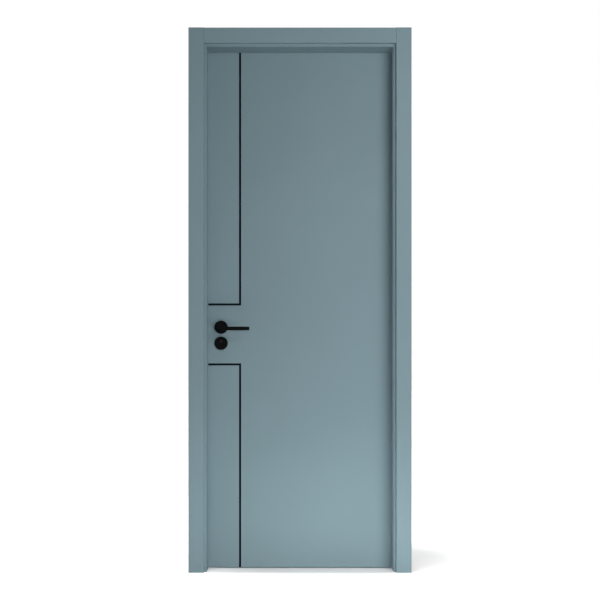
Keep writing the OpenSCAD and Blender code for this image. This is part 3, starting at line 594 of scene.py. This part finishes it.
class DOORSET_OT_hinges(bpy.types.Operator):
    """Hinge flaps with their knuckles, and the pins"""

    bl_idname = "doorset.hinges"
    bl_label = "Hinges"

    def execute(self, context):
        finish = context.scene.door_finish
        edges = context.scene.door_edges
        coat = finish_named("black_coat", lambda: black_coat(finish))
        for node in HINGE_PIECES:
            dress(node, [coat], edges.metal, edges.steps)
        return {"FINISHED"}


class DOORSET_OT_handles(bpy.types.Operator):
    """Levers, roses, escutcheons and the thumb turn"""

    bl_idname = "doorset.handles"
    bl_label = "Handles"

    def execute(self, context):
        finish = context.scene.door_finish
        edges = context.scene.door_edges
        coat = finish_named("black_coat", lambda: black_coat(finish))
        for node in LEVERS:
            dress(node, [coat], edges.lever, edges.steps)
        for node in ROSES:
            dress(node, [coat], edges.metal, edges.steps)
        dress("thumbturn", [coat], edges.metal, edges.steps)
        return {"FINISHED"}


class DOORSET_OT_lock(bpy.types.Operator):
    """Lock plates, bolts, cylinder and key plug"""

    bl_idname = "doorset.lock"
    bl_label = "Lock"

    def execute(self, context):
        finish = context.scene.door_finish
        edges = context.scene.door_edges
        coat = finish_named("black_coat", lambda: black_coat(finish))
        steel = finish_named("plated_steel", lambda: plated_steel(finish))
        for node in PLATES:
            dress(node, [coat], edges.metal, edges.steps)
        for node in BOLTS:
            dress(node, [steel], edges.metal, edges.steps)
        dress("lock_cylinder", [coat], edges.metal, edges.steps)
        dress("key_plug", [plug_brass(finish)], edges.metal, edges.steps)
        for node in HIDDEN_STEEL:
            paint(node, steel)
        paint("strike_box", dust_plastic(finish))
        return {"FINISHED"}


# Screws

def screw_tree():
    """Node tree that sets a countersunk screw on every point, along its outward attribute."""
    tree = bpy.data.node_groups.new("cross_recess_screws", "GeometryNodeTree")
    face = tree.interface
    face.new_socket("Geometry", in_out="INPUT", socket_type="NodeSocketGeometry")
    for name in SCREW_LENGTHS:
        face.new_socket(name, in_out="INPUT", socket_type="NodeSocketFloat").subtype = "DISTANCE"
    face.new_socket("Seed", in_out="INPUT", socket_type="NodeSocketInt")
    face.new_socket("Finish", in_out="INPUT", socket_type="NodeSocketMaterial")
    face.new_socket("Geometry", in_out="OUTPUT", socket_type="NodeSocketGeometry")
    given = add_node(tree, "NodeGroupInput").outputs

    def feed(socket, value):
        """Sets a socket to a number, or links it to another node's output."""
        if isinstance(value, (int, float)):
            socket.default_value = value
        else:
            tree.links.new(value, socket)

    def math_node(operation, a, b):
        made = add_node(tree, "ShaderNodeMath", {"operation": operation})
        for socket, value in zip(made.inputs, (a, b)):
            feed(socket, value)
        return made.outputs["Value"]

    def up_by(mesh, height):
        place = add_node(tree, "ShaderNodeCombineXYZ")
        tree.links.new(height, place.inputs["Z"])
        moved = add_node(tree, "GeometryNodeTransform")
        tree.links.new(mesh, moved.inputs["Geometry"])
        tree.links.new(place.outputs["Vector"], moved.inputs["Translation"])
        return moved.outputs["Geometry"]

    def taper(top, bottom, depth):
        made = add_node(tree, "GeometryNodeMeshCone", values={"Vertices": SCREW_SIDES})
        for name, value in (("Radius Top", top), ("Radius Bottom", bottom), ("Depth", depth)):
            feed(made.inputs[name], value)
        return made.outputs["Mesh"]

    shank = math_node("SUBTRACT", given["Head Radius"], given["Head Depth"])
    below_head = math_node("SUBTRACT", given["Length"], given["Head Depth"])
    straight = math_node("SUBTRACT", below_head, given["Point"])
    head_foot = math_node("MULTIPLY", given["Head Depth"], -1)
    shank_foot = math_node("SUBTRACT", head_foot, straight)
    tip = math_node("MULTIPLY", given["Length"], -1)

    reach = math_node("MULTIPLY", given["Recess Reach"], 2)
    double_depth = math_node("MULTIPLY", given["Recess Depth"], 2)
    wings = []
    for across in (("X", "Y"), ("Y", "X")):
        size = add_node(tree, "ShaderNodeCombineXYZ")
        tree.links.new(reach, size.inputs[across[0]])
        tree.links.new(given["Recess Width"], size.inputs[across[1]])
        tree.links.new(double_depth, size.inputs["Z"])
        wing = add_node(tree, "GeometryNodeMeshCube")
        tree.links.new(size.outputs["Vector"], wing.inputs["Size"])
        wings.append(wing.outputs["Mesh"])
    head = add_node(tree, "GeometryNodeMeshBoolean", {"operation": "DIFFERENCE"})
    cone = up_by(taper(given["Head Radius"], shank, given["Head Depth"]), head_foot)
    tree.links.new(cone, head.inputs["Mesh 1"])
    for wing in wings:
        tree.links.new(wing, head.inputs["Mesh 2"])
    screw = add_node(tree, "GeometryNodeJoinGeometry")
    for mesh in (
        head.outputs["Mesh"],
        up_by(taper(shank, shank, straight), shank_foot),
        up_by(taper(shank, 0.0, given["Point"]), tip),
    ):
        tree.links.new(mesh, screw.inputs["Geometry"])

    outward = add_node(
        tree, "GeometryNodeInputNamedAttribute", {"data_type": "FLOAT_VECTOR"}, {"Name": "outward"})
    facing = add_node(tree, "FunctionNodeAlignRotationToVector", {"axis": "Z"})
    tree.links.new(outward.outputs["Attribute"], facing.inputs["Vector"])
    turned = add_node(tree, "FunctionNodeRandomValue", {"data_type": "FLOAT"})
    turned.inputs[RANDOM_HIGHEST].default_value = math.tau
    tree.links.new(given["Seed"], turned.inputs["Seed"])
    spin = add_node(tree, "FunctionNodeAxisAngleToRotation", values={"Axis": (0, 0, 1)})
    tree.links.new(turned.outputs[RANDOM_RESULT], spin.inputs["Angle"])
    both = add_node(tree, "FunctionNodeRotateRotation", {"rotation_space": "LOCAL"})
    tree.links.new(facing.outputs["Rotation"], both.inputs["Rotation"])
    tree.links.new(spin.outputs["Rotation"], both.inputs["Rotate By"])
    copies = add_node(tree, "GeometryNodeInstanceOnPoints")
    tree.links.new(given["Geometry"], copies.inputs["Points"])
    tree.links.new(screw.outputs["Geometry"], copies.inputs["Instance"])
    tree.links.new(both.outputs["Rotation"], copies.inputs["Rotation"])
    real = add_node(tree, "GeometryNodeRealizeInstances")
    tree.links.new(copies.outputs["Instances"], real.inputs["Geometry"])
    coated = add_node(tree, "GeometryNodeSetMaterial")
    tree.links.new(real.outputs["Geometry"], coated.inputs["Geometry"])
    tree.links.new(given["Finish"], coated.inputs["Material"])
    result = add_node(tree, "NodeGroupOutput")
    tree.links.new(coated.outputs["Geometry"], result.inputs["Geometry"])
    return tree


def set_inputs(modifier, values):
    """Sets a modifier's inputs by the identifiers of its tree's sockets."""
    for item in modifier.node_group.interface.items_tree:
        if item.item_type == "SOCKET" and item.in_out == "INPUT" and item.name in values:
            modifier[item.identifier] = values[item.name]


class DOORSET_OT_screws(bpy.types.Operator):
    """Screws of hinges, strike, forend and cylinder, by node tree on the places of the solids"""

    bl_idname = "doorset.screws"
    bl_label = "Screws"

    def execute(self, context):
        settings = context.scene.door_screws
        finish = context.scene.door_finish
        steel = finish_named("plated_steel", lambda: plated_steel(finish))
        coat = finish_named("black_coat", lambda: black_coat(finish))
        tree = screw_tree()
        for node, direction in SCREWS.items():
            boxes = loose_solids(node)
            outward = Vector(direction)
            heads = [
                Vector((high.x if outward.x > 0 else low.x, (low.y + high.y) / 2, (low.z + high.z) / 2))
                for low, high in boxes
            ]
            low, high = boxes[0]
            points = bpy.data.meshes.new(node + "_points")
            points.from_pydata(heads, [], [])
            facing = points.attributes.new("outward", "FLOAT_VECTOR", "POINT")
            facing.data.foreach_set("vector", [c for _ in heads for c in outward])
            carrier = bpy.data.objects.new(node + "_carrier", points)
            context.scene.collection.objects.link(carrier)
            modifier = carrier.modifiers.new("screws", "NODES")
            modifier.node_group = tree
            set_inputs(modifier, {
                "Head Radius": (high.y - low.y) / 2,
                "Head Depth": settings.head_depth,
                "Length": high.x - low.x,
                "Point": settings.point,
                "Recess Reach": settings.recess_reach,
                "Recess Width": settings.recess_width,
                "Recess Depth": settings.recess_depth,
                "Seed": settings.seed,
                "Finish": coat if "flap" in node else steel,
            })
            piece = plain_piece(carrier, node + "_dressed")
            piece.data.shade_smooth()
            piece.data.set_sharp_from_angle(angle=SHARP_ANGLE)
            stand_for(piece, node)
        return {"FINISHED"}


# Stage

def seen_or_mirrored(tree):
    """1 for rays that show the background: from the camera, off gloss or through glass."""
    path = add_node(tree, "ShaderNodeLightPath")
    total = path.outputs["Is Camera Ray"]
    for name in ("Is Glossy Ray", "Is Transmission Ray"):
        larger = add_node(tree, "ShaderNodeMath", {"operation": "MAXIMUM"})
        tree.links.new(total, larger.inputs[0])
        tree.links.new(path.outputs[name], larger.inputs[1])
        total = larger.outputs["Value"]
    return total


def white_room(scene, ambient):
    """Soft light from all sides, and plain white where the room shows."""
    world = bpy.data.worlds.new("white_room")
    world.use_nodes = True
    tree = world.node_tree
    tree.nodes.clear()
    light = add_node(tree, "ShaderNodeBackground", values={"Color": (1, 1, 1, 1), "Strength": ambient})
    white = add_node(tree, "ShaderNodeBackground", values={"Color": (1, 1, 1, 1), "Strength": 1.0})
    mix = add_node(tree, "ShaderNodeMixShader")
    result = add_node(tree, "ShaderNodeOutputWorld")
    tree.links.new(seen_or_mirrored(tree), mix.inputs["Fac"])
    tree.links.new(light.outputs["Background"], mix.inputs[1])
    tree.links.new(white.outputs["Background"], mix.inputs[2])
    tree.links.new(mix.outputs["Shader"], result.inputs["Surface"])
    scene.world = world


def pale_floor(stage):
    """Floor that shows white in the open by a painted glow, which covers the shadows there, and keeps the
    real shadows in an oval near the door where it has no glow.
    """
    made = bpy.data.materials.new("pale_floor")
    made.use_nodes = True
    tree = made.node_tree
    tree.nodes.clear()
    matt = add_node(tree, "ShaderNodeBsdfDiffuse", values={"Color": (*stage.floor, 1)})
    bounce = add_node(tree, "ShaderNodeBsdfDiffuse", values={"Color": (*stage.floor_bounce, 1)})
    place = add_node(tree, "ShaderNodeTexCoord")
    pool = add_node(tree, "ShaderNodeMapping", values=POOL)
    away = add_node(tree, "ShaderNodeVectorMath", {"operation": "LENGTH"})
    spread = add_node(
        tree, "ShaderNodeMapRange", {"interpolation_type": "SMOOTHSTEP"},
        {"From Min": POOL_NEAR, "From Max": POOL_FAR, "To Min": 0, "To Max": stage.floor_glow})
    # Painted light: the floor glows white by place, with none in the oval near the door and full glow
    # further out
    glow = add_node(tree, "ShaderNodeEmission", values={"Color": (1, 1, 1, 1)})
    tree.links.new(place.outputs["Object"], pool.inputs["Vector"])
    tree.links.new(pool.outputs["Vector"], away.inputs[0])
    tree.links.new(away.outputs["Value"], spread.inputs["Value"])
    tree.links.new(spread.outputs["Result"], glow.inputs["Strength"])
    lifted = add_node(tree, "ShaderNodeAddShader")
    mix = add_node(tree, "ShaderNodeMixShader")
    result = add_node(tree, "ShaderNodeOutputMaterial")
    tree.links.new(matt.outputs["BSDF"], lifted.inputs[0])
    tree.links.new(glow.outputs["Emission"], lifted.inputs[1])
    tree.links.new(seen_or_mirrored(tree), mix.inputs["Fac"])
    tree.links.new(bounce.outputs["BSDF"], mix.inputs[1])
    tree.links.new(lifted.outputs["Shader"], mix.inputs[2])
    tree.links.new(mix.outputs["Shader"], result.inputs["Surface"])
    return made


def soft_lamp(scene, name, place, target, size, spread, power):
    data = bpy.data.lights.new(name, "AREA")
    data.shape = "ELLIPSE"
    data.size, data.size_y = size
    data.spread = math.radians(spread)
    data.energy = power
    lamp = bpy.data.objects.new(name, data)
    lamp.location = place
    lamp.rotation_euler = (Vector(target) - Vector(place)).to_track_quat("-Z", "Y").to_euler()
    lamp.visible_camera = False
    scene.collection.objects.link(lamp)


def daylight(scene, name, way, angle, strength):
    data = bpy.data.lights.new(name, "SUN")
    data.energy = strength
    data.angle = angle
    sun = bpy.data.objects.new(name, data)
    sun.rotation_euler = Vector(way).to_track_quat("-Z", "Y").to_euler()
    scene.collection.objects.link(sun)


class DOORSET_OT_stage(bpy.types.Operator):
    """Floor, room light, lamps and camera"""

    bl_idname = "doorset.stage"
    bl_label = "Stage"

    def execute(self, context):
        scene = context.scene
        stage = scene.door_stage
        scene.view_settings.view_transform = "Standard"
        white_room(scene, stage.ambient)

        mesh = bpy.data.meshes.new("floor")
        corners = [(x * FLOOR_HALF, y * FLOOR_HALF, 0) for x, y in ((-1, -1), (1, -1), (1, 1), (-1, 1))]
        mesh.from_pydata(corners, [], [(0, 1, 2, 3)])
        mesh.materials.append(pale_floor(stage))
        floor = bpy.data.objects.new("floor", mesh)
        scene.collection.objects.link(floor)

        daylight(scene, "straight_light", STRAIGHT_DOWN, STRAIGHT_ANGLE, stage.daylight)
        daylight(scene, "slanting_light", SLANTING, SLANTING_ANGLE, stage.slanting)
        for name, (place, aim, size, spread) in LAMPS.items():
            target = (0, 0, aim * cad_box[1].z)
            soft_lamp(scene, name + "_lamp", place, target, size, spread, getattr(stage, name))

        data = bpy.data.cameras.new("camera")
        data.lens = stage.lens
        data.shift_y = (stage.horizon - IMAGE_SIDE / 2) / IMAGE_SIDE
        camera = bpy.data.objects.new("camera", data)
        camera.location = (0, cad_box[0].y - stage.distance, stage.height)
        camera.rotation_euler = (math.pi / 2, 0, 0)
        scene.collection.objects.link(camera)
        scene.camera = camera
        return {"FINISHED"}


PIECE_OPERATORS = (
    DOORSET_OT_frame, DOORSET_OT_leaf, DOORSET_OT_inlays, DOORSET_OT_hinges,
    DOORSET_OT_handles, DOORSET_OT_lock, DOORSET_OT_screws, DOORSET_OT_stage,
)


class DOORSET_PT_sidebar(bpy.types.Panel):
    """Sidebar panel with the settings and the steps of the door set"""

    bl_idname = "DOORSET_PT_sidebar"
    bl_label = "Door Set"
    bl_space_type = "VIEW_3D"
    bl_region_type = "UI"
    bl_category = "Door Set"

    def draw(self, context):
        for group in SETTINGS:
            box = self.layout.box()
            settings = getattr(context.scene, group)
            for name in settings.bl_rna.properties.keys():
                if name not in ("rna_type", "name"):
                    box.prop(settings, name)
        for operator in PIECE_OPERATORS:
            self.layout.operator(operator.bl_idname)


SETTINGS = {
    "door_finish": DoorFinishSettings,
    "door_edges": DoorEdgeSettings,
    "door_screws": DoorScrewSettings,
    "door_stage": DoorStageSettings,
}
CLASSES = (*SETTINGS.values(), *PIECE_OPERATORS, DOORSET_PT_sidebar)


def register():
    for cls in CLASSES:
        bpy.utils.register_class(cls)
    for name, group in SETTINGS.items():
        setattr(bpy.types.Scene, name, bpy.props.PointerProperty(type=group))


def unregister():
    for name in SETTINGS:
        delattr(bpy.types.Scene, name)
    for cls in reversed(CLASSES):
        bpy.utils.unregister_class(cls)


def main():
    register()
    bpy.ops.doorset.frame()
    bpy.ops.doorset.leaf()
    bpy.ops.doorset.inlays()
    bpy.ops.doorset.hinges()
    bpy.ops.doorset.handles()
    bpy.ops.doorset.lock()
    bpy.ops.doorset.screws()
    bpy.ops.doorset.stage()


if __name__ == "__main__":
    main()
